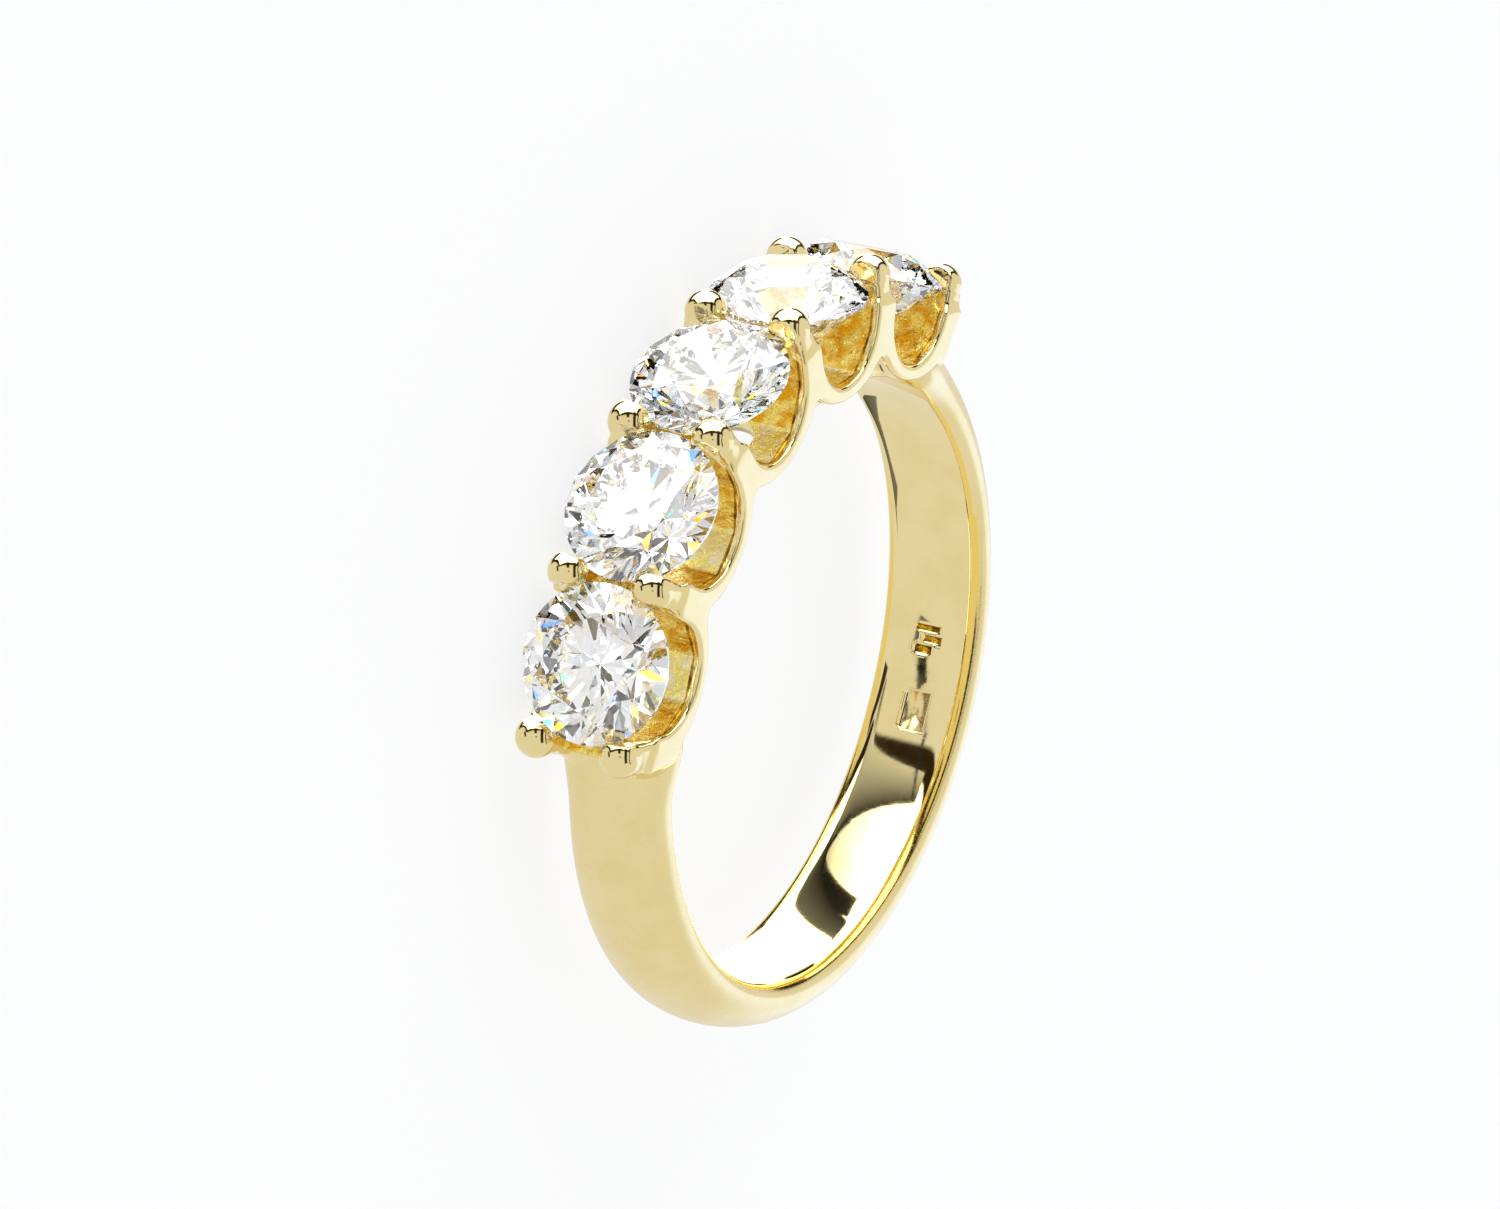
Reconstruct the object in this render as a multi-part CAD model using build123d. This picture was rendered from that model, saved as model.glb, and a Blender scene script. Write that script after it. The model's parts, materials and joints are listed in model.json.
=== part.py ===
from build123d import *
import math
import os

# Five stone ring, in millimetres. The finger axis is +Z and the origin is the centre of the
# bore. The stones sit towards -Y, and angles round the ring are counted from -Y towards +X.

# Band
finger_diameter = 16.5
band_width = 3.08
band_thickness = 1.38
shoulder_width = 2.76
shoulder_thickness = 1.76
inner_flat_width = 2.28
shoulder_flat_width = 2.64
edge_height = 0.42          # from the bore to where the band is widest
bore_stock = 0.10           # left inside the band before its bore is turned
shoulder_power = 3.0        # how late the band swells towards its shoulders
flat_power = 1.5            # the same for the flat inside the band
root_length = 13.8          # how far the claws' roots run down the band, in degrees
root_width = 3.50           # of the band where it meets the gallery
root_edge_height = 1.25     # from the bore to where the band is widest there
band_sections = 49

# Stones
stone_count = 5
stone_diameter = 4.22
stone_spacing = 0.10        # between the girdles of neighbouring stones
seat_height = 2.62          # from the bore to the girdle plane
stone_clearance = 0.03      # between a stone and the gold round it
table_share = 0.57          # of the stone's diameter
star_share = 0.50           # of the way from the table's edge to the girdle
lower_half_share = 0.78     # of the way from the girdle to the culet
girdle_share = 0.03         # of the stone's diameter
crown_angle = 34.5
pavilion_angle = 40.75
crown_mains = 8             # facets round the crown
stone_turns = (0, 14, 31, 8, 22)   # each stone's turn about its own axis, in degrees

# Gallery
gallery_half_width = 1.95   # from the middle plane to the outer face of a side wall
side_wall = 0.55
claw_width = 1.04
claw_reach = 0.68           # how far a claw reaches inwards past the side wall
claw_top_height = 3.45      # from the bore to the top of a claw
claw_dome_radius = 0.57     # of the dome on top of a claw
claw_taper_height = 1.95    # from the bore to where a claw's corners begin to taper
claw_taper_radius = 0.92    # of the taper there, clear of the corners
claw_tip_half_width = 1.71  # from the middle plane to the outer side of a claw at its top
claw_lean_height = 1.65     # from the bore to where the claws begin to lean inwards
claw_foot_height = 0.55     # from the bore to the foot of a claw, inside the walls
lobe_rise = 0.03            # from the bore to the lowest point of a scallop
opening_rise = 0.48         # from the bore to the lowest point of a side opening
cusp_fillet = 0.45          # between two scallops
rim_fillet = 0.22           # along the outer rim of a side wall
wall_top_height = 2.37      # from the bore to the top of the walls between the stones
bore_edge_round = 0.10      # of the bore's edges under the stones
cup_floor_height = 0.50     # from the bore to the floor of a cup
cup_floor_width = 1.30
back_hole_diameter = 1.50   # through the floor under each stone

# Sizes that follow from the driving dimensions
bore_radius = finger_diameter / 2
stone_radius = stone_diameter / 2
girdle_plane = bore_radius + seat_height
half_pitch = math.degrees(math.atan((stone_radius + stone_spacing / 2) / girdle_plane))
pitch = 2 * half_pitch
end_angle = stone_count * half_pitch
bay_angles = [(stone_count - 1 - 2 * i) * half_pitch for i in range(stone_count)]
claw_angles = [end_angle - i * pitch for i in range(stone_count + 1)]
slope = math.sin(math.radians(half_pitch))
wall_inner_face = gallery_half_width - side_wall
claw_inner_side = wall_inner_face - claw_reach
lobe_bottom = bore_radius + lobe_rise
lobe_centre = (lobe_bottom + claw_width / 2) / (1 - slope)
lobe_radius = lobe_centre - lobe_bottom
opening_bottom = bore_radius + opening_rise
opening_centre = (opening_bottom - claw_width / 2) / (1 - slope)
opening_radius = opening_centre - opening_bottom
claw_top = bore_radius + claw_top_height
claw_stock_top = claw_top + claw_width / 2
claw_lean_radius = bore_radius + claw_lean_height
claw_lean = (gallery_half_width - claw_tip_half_width) / (claw_top - claw_lean_radius)
root_end_angle = end_angle + root_length

# The stone's facets: kites from the table's corners, stars between them, halves at the girdle
facet_turn = 360 / crown_mains
half_turn = facet_turn / 2
flat_share = math.cos(math.radians(half_turn))
girdle_top = girdle_share * stone_diameter / 2
table_radius = table_share * stone_radius
star_radius = table_radius * flat_share + star_share * (stone_radius - table_radius * flat_share)
crown_slope = math.tan(math.radians(crown_angle))
table_level = girdle_top + (stone_radius - table_radius) * crown_slope
star_level = table_level - (star_radius * flat_share - table_radius) * crown_slope
tip_radius = (1 - lower_half_share) * stone_radius
pavilion_slope = math.tan(math.radians(pavilion_angle))
tip_level = -girdle_top - (stone_radius - tip_radius * flat_share) * pavilion_slope
culet_level = -girdle_top - stone_radius * pavilion_slope


def at(angle, radius, side=0.0):
    """A point on the middle plane: its angle, its distance out, and a step round the ring."""
    a = math.radians(angle)
    return Vector(
        radius * math.sin(a) + side * math.cos(a),
        -radius * math.cos(a) + side * math.sin(a),
    )


def round_step(angle, length):
    """A step of this length round the ring, square to the direction at this angle."""
    return at(angle, 0.0, length)


# The band

def mix(a, b, share):
    """The value this share of the way from a to b."""
    return a + (b - a) * share


def band_section(angle):
    """The band's section at an angle from the middle of the stones: flat inside, domed outside."""
    shoulder = (180 - angle) / (180 - end_angle)
    swell = shoulder ** shoulder_power
    near = max(0.0, (root_end_angle - angle) / root_length)
    root = near * near * (3 - 2 * near)
    thickness = mix(band_thickness, shoulder_thickness, swell)
    width = mix(mix(band_width, shoulder_width, swell), root_width, root)
    flat = mix(inner_flat_width, shoulder_flat_width, shoulder ** flat_power)
    edge = mix(edge_height, root_edge_height, root)
    depth = edge + bore_stock
    kept = math.sqrt(1 - (edge / depth) ** 2)
    corner = (width - flat) / 2 / (1 - kept)
    flat = width - 2 * corner
    inside = bore_radius - bore_stock
    widest = bore_radius + edge
    lines = [
        Line((inside, -flat / 2), (inside, flat / 2)),
        EllipticalCenterArc((widest, flat / 2), depth, corner, 90),
        EllipticalCenterArc((widest, 0), thickness - edge, width / 2, -90, arc_size=180),
        EllipticalCenterArc((widest, -flat / 2), depth, corner, 180),
    ]
    return make_face(Wire(lines))


def section_plane(angle):
    """The plane through the finger axis at this angle round the ring."""
    return Plane(origin=(0, 0, 0), x_dir=at(angle, 1.0), z_dir=round_step(angle, 1.0))


def make_band():
    """The band from one end of the gallery round to the other."""
    step = (360 - 2 * end_angle) / (band_sections - 1)
    angles = [end_angle + i * step for i in range(band_sections)]
    band = loft([section_plane(a) * band_section(min(a, 360 - a)) for a in angles])
    return band - Cylinder(bore_radius, 2 * band_width)


# The gallery

def cusp_radius():
    """Distance from the finger axis to where two neighbouring scallops cross."""
    b = lobe_centre * math.cos(math.radians(half_pitch))
    return b - math.sqrt(b * b - lobe_centre ** 2 + lobe_radius ** 2)


def side_wall_outline():
    """The outline of a side wall: scallops along the bore, claws and openings outside."""
    half = claw_width / 2
    edges = []
    start = at(bay_angles[0], lobe_centre) + round_step(claw_angles[0], lobe_radius)
    for i, bay in enumerate(bay_angles):
        low = at(bay, lobe_bottom)
        if i < stone_count - 1:
            end = at(claw_angles[i + 1], cusp_radius())
        else:
            end = at(bay, lobe_centre) - round_step(claw_angles[-1], lobe_radius)
        edges.append(ThreePointArc(start, low, end))
        start = end
    for i in range(stone_count, -1, -1):
        claw = claw_angles[i]
        left = at(claw, claw_stock_top, -half)
        right = at(claw, claw_stock_top, half)
        edges += [Line(start, left), Line(left, right)]
        if i > 0:
            bay = bay_angles[i - 1]
            centre = at(bay, opening_centre)
            near = centre - round_step(claw, opening_radius)
            far = centre + round_step(claw_angles[i - 1], opening_radius)
            edges.append(Line(right, near))
            edges.append(ThreePointArc(near, at(bay, opening_bottom), far))
            start = far
        else:
            close = at(bay_angles[0], lobe_centre) + round_step(claw, lobe_radius)
            edges.append(Line(right, close))
    return make_face(Wire(edges))


def claw_envelope():
    """The turned space on the +Z side that the side wall fills: its claws lean inwards."""
    def outer_side(radius):
        return gallery_half_width + (claw_lean_radius - radius) * claw_lean

    inner = bore_radius - side_wall
    outer = claw_stock_top + side_wall
    profile = Polyline(
        (inner, 0, 0),
        (outer, 0, 0),
        (outer, 0, outer_side(outer)),
        (inner, 0, outer_side(inner)),
        close=True,
    )
    return revolve(make_face(profile), Axis.Z, 360)


def claw_trim(angle):
    """What is cut from round the top of a claw on the +Z side, to leave it tapered and domed."""
    taper = claw_top_height - claw_dome_radius - claw_taper_height
    height = claw_stock_top + side_wall - bore_radius - claw_taper_height
    trim = Pos(Z=height / 2) * Box(2 * claw_width, 2 * claw_width, height)
    trim -= Pos(Z=taper / 2) * Cone(claw_taper_radius, claw_dome_radius, taper)
    trim -= Pos(Z=taper) * Sphere(claw_dome_radius)
    middle = (claw_inner_side + claw_tip_half_width) / 2
    foot = at(angle, bore_radius + claw_taper_height) + Vector(0, 0, middle)
    return Location(Plane(origin=foot, x_dir=(0, 0, 1), z_dir=at(angle, 1.0))) * trim


def make_side_wall():
    """One side wall on the +Z side, with its outer rim rounded."""
    outline = side_wall_outline()
    cusps = [
        v for v in outline.vertices()
        if abs(math.hypot(v.X, v.Y) - cusp_radius()) < stone_clearance
    ]
    outline = fillet(cusps, cusp_fillet)
    wall = extrude(Plane.XY.offset(wall_inner_face) * outline, side_wall)
    outer_face = wall.faces().sort_by(Axis.Z)[-1]
    return fillet(outer_face.edges(), rim_fillet)


def make_claw(angle):
    """The inner part of a claw on the +Z side, from the side wall in over the stone."""
    foot = bore_radius + claw_foot_height
    height = claw_stock_top - foot
    across = Plane(origin=at(angle, foot), x_dir=(0, 0, 1), z_dir=at(angle, 1.0))
    plan = Pos(X=claw_inner_side + claw_reach / 2) * Rectangle(claw_reach, claw_width)
    return extrude(across * plan, height)


def make_cup(bay, before, after):
    """The space of one cup: a channel across the gallery, with a floor and leaning walls."""
    half = claw_width / 2
    floor = bore_radius + cup_floor_height
    corners = [
        at(bay, floor, -cup_floor_width / 2),
        at(bay, floor, cup_floor_width / 2),
        at(after, opening_centre, -half),
        at(after, claw_top, -half),
        at(before, claw_top, half),
        at(before, opening_centre, half),
    ]
    outline = make_face(Polyline(*corners, close=True))
    return extrude(Plane.XY * outline, gallery_half_width, both=True)


def make_walls():
    """The inner gallery: the bore's wall under the stones and the walls between the cups."""
    depth = wall_top_height
    profile = Plane.XZ * Pos(X=bore_radius + depth / 2) * Rectangle(depth, 2 * wall_inner_face)
    profile = fillet(profile.vertices().sort_by(Axis.X)[:2], bore_edge_round)
    walls = Rot(Z=-90 - end_angle) * revolve(profile, Axis.Z, 2 * end_angle)
    for i, bay in enumerate(bay_angles):
        walls -= make_cup(bay, claw_angles[i + 1], claw_angles[i])
    return walls


# The stones

def stone_place(angle):
    """The frame of a stone at this angle: its table looks outwards, its girdle is at the origin."""
    return Location(Plane(origin=at(angle, girdle_plane), x_dir=(0, 0, 1), z_dir=at(angle, 1.0)))


def facet_points():
    """Three points of each facet's plane, above and below the middle of the girdle."""
    def p(turn, radius, level):
        a = math.radians(turn)
        return Vector(radius * math.cos(a), radius * math.sin(a), level)

    corners = [p(i * facet_turn, table_radius, table_level) for i in range(crown_mains)]
    facets = [tuple(corners[:3])]
    for i in range(crown_mains):
        turn = i * facet_turn
        before = turn - half_turn
        after = turn + half_turn
        above = p(turn, stone_radius, girdle_top)
        below = p(turn, stone_radius, -girdle_top)
        star = p(after, star_radius, star_level)
        facets.append((above, star, p(before, star_radius, star_level)))
        facets.append((corners[i], star, corners[(i + 1) % crown_mains]))
        facets.append((below, p(after, tip_radius, tip_level), p(before, tip_radius, tip_level)))
        for side in (before, after):
            tip = p(side, tip_radius, tip_level)
            facets.append((above, p(side, stone_radius, girdle_top), p(side, star_radius, star_level)))
            facets.append((below, p(side, stone_radius, -girdle_top), tip))
    return facets


def make_stone():
    """A round brilliant: table, kites, stars and halves above, mains and halves below."""
    stone = Cylinder(stone_radius, -2 * culet_level)
    for a, b, c in facet_points():
        normal = (b - a).cross(c - a).normalized()
        if normal.dot(a) < 0:
            normal = normal * -1
        stone = split(stone, Plane(origin=a, z_dir=normal), keep=Keep.BOTTOM)
    return stone


def seat_space():
    """The space that a stone takes in the gold, with its clearance all round."""
    c = stone_clearance
    profile = Polyline(
        (0, 0, table_level + c),
        (table_radius + c, 0, table_level + c),
        (star_radius + c, 0, star_level + c),
        (stone_radius + c, 0, girdle_top + c),
        (stone_radius + c, 0, -girdle_top - c),
        (tip_radius + c, 0, tip_level - c),
        (0, 0, culet_level - c),
        close=True,
    )
    return revolve(make_face(profile), Axis.Z, 360)


# The assembly

def make_ring_body():
    """Band, gallery and claws, cast as one piece, with a seat for each stone."""
    body = make_band() + make_walls()
    side = make_side_wall()
    for angle in claw_angles:
        side += make_claw(angle)
    side &= claw_envelope()
    for angle in claw_angles:
        side -= claw_trim(angle)
    body = body + side + mirror(side, Plane.XY)
    back_hole = Cylinder(back_hole_diameter / 2, 2 * seat_height)
    for angle in bay_angles:
        body -= stone_place(angle) * seat_space()
        body -= stone_place(angle) * Pos(Z=-seat_height) * back_hole
    return body


os.makedirs("parts", exist_ok=True)
export_step(make_ring_body(), "parts/ring_body.step")
brilliant = make_stone()
for number, angle in enumerate(bay_angles, start=1):
    turn = stone_turns[(number - 1) % len(stone_turns)]
    placed = stone_place(angle) * Rot(Z=turn) * brilliant
    export_step(placed, f"parts/stone_{number}.step")
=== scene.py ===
import json
import math

import bmesh
import bpy
from mathutils import Matrix, Vector


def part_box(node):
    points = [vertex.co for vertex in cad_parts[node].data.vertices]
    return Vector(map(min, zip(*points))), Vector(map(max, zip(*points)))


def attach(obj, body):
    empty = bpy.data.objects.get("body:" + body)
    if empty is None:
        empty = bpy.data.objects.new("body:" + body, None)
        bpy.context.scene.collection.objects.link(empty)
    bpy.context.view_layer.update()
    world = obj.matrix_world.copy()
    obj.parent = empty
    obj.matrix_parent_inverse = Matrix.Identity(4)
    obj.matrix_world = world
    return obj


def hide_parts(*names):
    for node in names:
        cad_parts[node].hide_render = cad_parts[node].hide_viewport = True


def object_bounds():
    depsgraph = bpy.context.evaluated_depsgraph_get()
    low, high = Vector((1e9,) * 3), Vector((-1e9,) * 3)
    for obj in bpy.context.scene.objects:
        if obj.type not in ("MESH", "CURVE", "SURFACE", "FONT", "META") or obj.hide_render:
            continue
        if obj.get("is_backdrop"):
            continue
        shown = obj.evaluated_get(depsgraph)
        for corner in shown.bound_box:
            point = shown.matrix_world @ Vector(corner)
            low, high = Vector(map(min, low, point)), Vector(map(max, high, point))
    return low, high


bl_info = {
    "name": "Five stone ring",
    "version": (1, 0, 0),
    "blender": (4, 5, 0),
    "location": "View3D > Sidebar > Ring",
    "description": "Builds the gold and the looks of a five stone ring round its packed frame",
    "category": "Add Mesh",
}

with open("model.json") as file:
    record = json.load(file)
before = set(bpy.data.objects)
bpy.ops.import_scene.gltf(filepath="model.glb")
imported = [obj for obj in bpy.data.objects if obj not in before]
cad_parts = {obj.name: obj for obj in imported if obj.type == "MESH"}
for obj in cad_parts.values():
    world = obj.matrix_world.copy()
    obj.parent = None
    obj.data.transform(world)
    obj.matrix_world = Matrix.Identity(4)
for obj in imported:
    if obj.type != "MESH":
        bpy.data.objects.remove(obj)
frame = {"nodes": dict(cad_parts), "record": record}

# The finger axis is +Z and the stones sit towards -Y. Angles round the ring are counted from -Y
# towards +X. Pieces are modelled in millimetres and brought down to metres when they are done.
STONES = [f"stone_{number}" for number in range(1, 6)]
PER_MM = 0.001
FULL_TURN = 2 * math.pi
BORE = frame["record"]["mounts"][0]["dims"]["r_mm"]
STONE_LOW, STONE_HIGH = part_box("stone_3")
STONE_RADIUS = (STONE_HIGH.z - STONE_LOW.z) / 2 / PER_MM

# How far a cutter goes past a wall, and how far where it takes all that lies beyond
PAST = 1.0
BEYOND = 6.0
# The coarser and the finer grid that overlapping shapes are melted on
COARSE = 0.07
FINE = 0.055


# Sizes and colours

def length(name, description, mm):
    """A length that the panel shows, given here in millimetres."""
    return bpy.props.FloatProperty(
        name=name, description=description, default=mm * PER_MM, precision=5, unit="LENGTH")


def colour(name, description, value):
    """A colour that the panel shows."""
    return bpy.props.FloatVectorProperty(
        name=name, description=description, default=value, size=4, min=0, max=1, subtype="COLOR")


class RingSizes(bpy.types.PropertyGroup):
    """The sizes of the ring's gold."""
    bore_radius: length("Bore radius", "Radius of the finger bore", BORE)
    band_width: length("Band width", "Width of the band opposite the stones", 3.08)
    band_thickness: length("Band thickness", "Thickness of the band opposite the stones", 1.38)
    shoulder_width: length("Shoulder width", "Width of the band at its shoulders", 2.76)
    shoulder_thickness: length("Shoulder thickness", "Thickness at the shoulders", 1.76)
    inner_flat: length("Inner flat", "Width of the flat inside the band", 2.28)
    edge_height: length("Edge height", "From the bore to where the band is widest", 0.42)
    liner_width: length("Liner width", "Width of the band under the stones", 2.78)
    liner_thickness: length("Liner thickness", "Thickness of the band under the stones", 0.42)
    root_width: length("Root width", "Width of the band where it meets the gallery", 3.46)
    stone_radius: length("Stone radius", "Radius of a stone's girdle", STONE_RADIUS)
    stone_spacing: length("Stone spacing", "Gap between neighbouring girdles", 0.10)
    seat_height: length("Seat height", "From the bore to the girdle plane", 2.62)
    seat_gap: length("Seat gap", "Room between a stone and its seat", 0.03)
    gallery_half_width: length("Gallery half width", "Middle plane to a wall's outer face", 1.93)
    wall: length("Wall", "Thickness of a side wall", 0.55)
    rim: length("Rim", "Depth of the rim that an opening keeps round its cup", 0.20)
    claw_width: length("Claw width", "Width of a claw round the ring", 1.04)
    claw_reach: length("Claw reach", "How far a claw reaches in past the wall", 0.68)
    claw_height: length("Claw height", "From the bore to the top of a claw", 3.45)
    claw_dome: length("Claw dome", "Radius of the ball on top of a claw", 0.56)
    back_hole: length("Back hole", "Radius of the hole under a stone", 0.75)


class RingColours(bpy.types.PropertyGroup):
    """The colours of the ring, among them painted shade, bounce light and reflections in its edges
    and cups.
    """
    gold: colour("Gold", "Yellow gold where it is polished or satin", (0.86, 0.71, 0.34, 1))
    pale_gold: colour("Pale gold", "The paler drift in its tone", (0.89, 0.75, 0.39, 1))
    # Painted reflection: the deeper gold that gold shows where it reflects itself, in corners and
    # along the bore's rounded edges
    deep_gold: colour("Deep gold", "Painted reflection: deeper gold in corners and edges", (0.92, 0.66, 0.16, 1))
    # Painted shade: a deep orange that stands for the shade and the bounced light deep in the cups
    cast_gold: colour("Cast gold", "Painted shade: darker gold in the cups", (0.84, 0.46, 0.02, 1))
    # Painted bounce light: the brighter, saturated gold of the lit cups
    cup_gold: colour("Cup gold", "Painted bounce light: brighter gold in the cups", (1.0, 0.88, 0.28, 1))
    # Painted reflection: the pale strip that the floor of a cup shows
    floor_gold: colour("Cup floor reflection gold", "Painted reflection: pale gold on the floor of a cup", (1.0, 0.93, 0.64, 1))
    # Painted shade: the dark line in the groove inside a rim, also put on the punched marks
    seam_gold: colour("Seam gold", "Painted shade: the dark line inside a rim", (0.16, 0.08, 0.01, 1))
    stone: colour("Stone", "Body colour of the stones", (1.0, 1.0, 1.0, 1))
    floor: colour("Floor", "The pale floor", (0.97, 0.975, 0.98, 1))


# How far the top of a claw leans in
CLAW_LEAN = 0.145


class Shape:
    """The sizes in millimetres, with what follows from them."""

    def __init__(self, group):
        for key in group.__annotations__:
            setattr(self, key, getattr(group, key) / PER_MM)
        self.girdle = self.bore_radius + self.seat_height
        reach = self.stone_radius + self.stone_spacing / 2
        self.half_pitch = math.atan(reach / self.girdle)
        self.end_angle = len(STONES) * self.half_pitch
        self.bays = [self.end_angle - (2 * i + 1) * self.half_pitch for i in range(len(STONES))]
        self.claws = [self.end_angle - 2 * i * self.half_pitch for i in range(len(STONES) + 1)]
        self.claw_half = self.claw_width / 2
        self.claw_inner = self.gallery_half_width - self.wall - self.claw_reach
        self.ball_out = self.bore_radius + self.claw_height - self.claw_dome
        self.ball_side = (self.claw_inner + self.gallery_half_width - CLAW_LEAN) / 2
        slope = math.sin(self.half_pitch)
        self.lobe_low = self.bore_radius + 0.03
        self.lobe_centre = (self.lobe_low + self.claw_half) / (1 - slope)
        self.lobe_radius = self.lobe_centre - self.lobe_low
        self.opening_low = self.bore_radius + 0.48
        self.opening_centre = (self.opening_low - self.claw_half) / (1 - slope)
        self.opening_radius = self.opening_centre - self.opening_low


# Modelling by hand: one object is selected, then one part of it

def only(obj):
    """Selects this object alone."""
    bpy.ops.object.select_all(action="DESELECT")
    obj.select_set(True)
    bpy.context.view_layer.objects.active = obj


def started(name):
    """The primitive that was just added, under its name."""
    obj = bpy.context.object
    obj.name = name
    obj.data.name = name
    only(obj)
    return obj


def pick(test, kind="verts"):
    """In edit mode, selects the vertices, edges or faces whose middle passes the test."""
    mesh = bpy.context.object.data
    bpy.ops.mesh.select_mode(type={"verts": "VERT", "edges": "EDGE", "faces": "FACE"}[kind])
    bpy.ops.mesh.select_all(action="DESELECT")
    shape = bmesh.from_edit_mesh(mesh)
    for element in getattr(shape, kind):
        if kind == "verts":
            middle = element.co
        elif kind == "edges":
            middle = (element.verts[0].co + element.verts[1].co) / 2
        else:
            middle = element.calc_center_median()
        if test(middle):
            element.select_set(True)
    shape.select_flush_mode()
    bmesh.update_edit_mesh(mesh)


def move(x=0.0, y=0.0, z=0.0):
    bpy.ops.transform.translate(value=(x, y, z))


def grow(x=1.0, y=1.0, z=1.0, about=(0, 0, 0), turn=0.0):
    """Scales the selection about a point, along axes that are turned about Z."""
    bpy.ops.transform.resize(
        value=(x, y, z), center_override=about,
        orient_type="GLOBAL", orient_matrix_type="GLOBAL",
        orient_matrix=Matrix.Rotation(turn, 3, "Z"))


def extrude(x=0.0, y=0.0, z=0.0):
    bpy.ops.mesh.extrude_region_move(TRANSFORM_OT_translate={"value": (x, y, z)})


def spin(steps, angle):
    """Sweeps the selection round the finger axis, from -Y towards +X."""
    bpy.ops.mesh.spin(steps=steps, angle=angle, center=(0, 0, 0), axis=(0, 0, -1))


def edit(on):
    bpy.ops.object.mode_set(mode="EDIT" if on else "OBJECT")


def set_place(obj, location=(0, 0, 0), turn=(0, 0, 0), scale=(1, 1, 1)):
    """Puts an object in place, and leaves the place in its mesh."""
    only(obj)
    obj.location = location
    obj.rotation_euler = turn
    obj.scale = scale
    bpy.ops.object.transform_apply(location=True, rotation=True, scale=True)


def outwards(obj):
    """Merges doubles and points every face outwards."""
    only(obj)
    edit(True)
    bpy.ops.mesh.select_all(action="SELECT")
    bpy.ops.mesh.remove_doubles(threshold=0.001)
    bpy.ops.mesh.normals_make_consistent(inside=False)
    edit(False)


def modify(obj, kind, **values):
    """Adds a modifier with these values and applies it."""
    only(obj)
    modifier = obj.modifiers.new(kind, kind)
    for key, value in values.items():
        setattr(modifier, key, value)
    bpy.ops.object.modifier_apply(modifier=modifier.name)


def cut(obj, cutter):
    """Cuts one shape out of another."""
    modify(obj, "BOOLEAN", object=cutter, operation="DIFFERENCE", solver="EXACT")
    bpy.data.objects.remove(cutter)


def copy_of(obj, name):
    """A copy with its own mesh."""
    only(obj)
    bpy.ops.object.duplicate(linked=False)
    return started(name)


def joined(parts, name):
    """One object from several."""
    only(parts[0])
    for part in parts:
        part.select_set(True)
    bpy.ops.object.join()
    return started(name)


def around(obj, angles, name):
    """Copies of a shape that was made at angle 0, one at each angle, joined."""
    parts = []
    for number, angle in enumerate(angles):
        part = copy_of(obj, f"{name}_{number}")
        set_place(part, turn=(0, 0, angle))
        parts.append(part)
    bpy.data.objects.remove(obj)
    return joined(parts, name)


def fused(obj, voxel):
    """Melts what overlaps into one skin, as cast metal is."""
    modify(obj, "REMESH", mode="VOXEL", voxel_size=voxel, adaptivity=0.0)


def polished(obj, rounds, test=lambda p: True):
    """Takes the sharpness off the edges, as a polishing wheel does, all over or where it says."""
    only(obj)
    edit(True)
    pick(test)
    bpy.ops.mesh.vertices_smooth(factor=0.5, repeat=rounds)
    edit(False)


def coated(obj, *finishes):
    """Gives an object its finishes: the first all over, each later one where its test says."""
    obj.data.materials.clear()
    for finish in finishes:
        name = finish if isinstance(finish, str) else finish[0]
        obj.data.materials.append(bpy.data.materials[name])
    only(obj)
    for number, finish in enumerate(finishes):
        if isinstance(finish, str):
            continue
        edit(True)
        pick(finish[1], "faces")
        obj.active_material_index = number
        bpy.ops.object.material_slot_assign()
        edit(False)


def finished(obj):
    """Brings a piece down to metres, smooths its shading and ties it to the ring."""
    set_place(obj, scale=(PER_MM,) * 3)
    bpy.ops.object.shade_smooth()
    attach(obj, "root")


# Shapes that more than one piece needs. Each is made at angle 0, towards -Y.

def block(name, low, high, half_low, half_high, z_low, z_high):
    """A block from one distance out to another, as wide as given at each."""
    bpy.ops.mesh.primitive_cube_add(size=1, location=(0, 0, 0))
    obj = started(name)
    set_place(obj, (0, -(low + high) / 2, (z_low + z_high) / 2),
              scale=(2 * half_low, high - low, z_high - z_low))
    edit(True)
    pick(lambda p: abs(p.y + high) < 0.001)
    grow(x=half_high / half_low)
    edit(False)
    return obj


def disc(name, radius, out, z_low, z_high):
    """A disc that lies flat, its middle this far out."""
    bpy.ops.mesh.primitive_cylinder_add(
        vertices=96, radius=radius, depth=z_high - z_low,
        location=(0, -out, (z_low + z_high) / 2))
    obj = started(name)
    set_place(obj, obj.location.copy())
    return obj


def seat(shape):
    """The space of one stone, with a gap all round, turned about the stone's axis."""
    gap = shape.seat_gap
    point = 0.02
    table = 0.57
    girdle = 0.0633
    pavilion = 1.755
    crown = 0.6235
    profile = [
        (point, -shape.girdle + pavilion + girdle + gap * 2),
        (shape.stone_radius + gap, -shape.girdle + girdle + gap),
        (shape.stone_radius + gap, -shape.girdle - girdle - gap),
        (table * shape.stone_radius + gap, -shape.girdle - girdle - crown - gap),
    ]
    bpy.ops.mesh.primitive_circle_add(
        vertices=96, radius=profile[0][0], fill_type="NGON", rotation=(math.pi / 2, 0, 0))
    obj = started("seat")
    set_place(obj, (0, profile[0][1], 0), turn=obj.rotation_euler.copy())
    edit(True)
    bpy.ops.mesh.select_all(action="SELECT")
    radius, level = profile[0]
    for wide, next_level in profile[1:]:
        extrude(y=next_level - level)
        grow(x=wide / radius, z=wide / radius, about=(0, next_level, 0))
        radius, level = wide, next_level
    edit(False)
    outwards(obj)
    return obj


# The band

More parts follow.
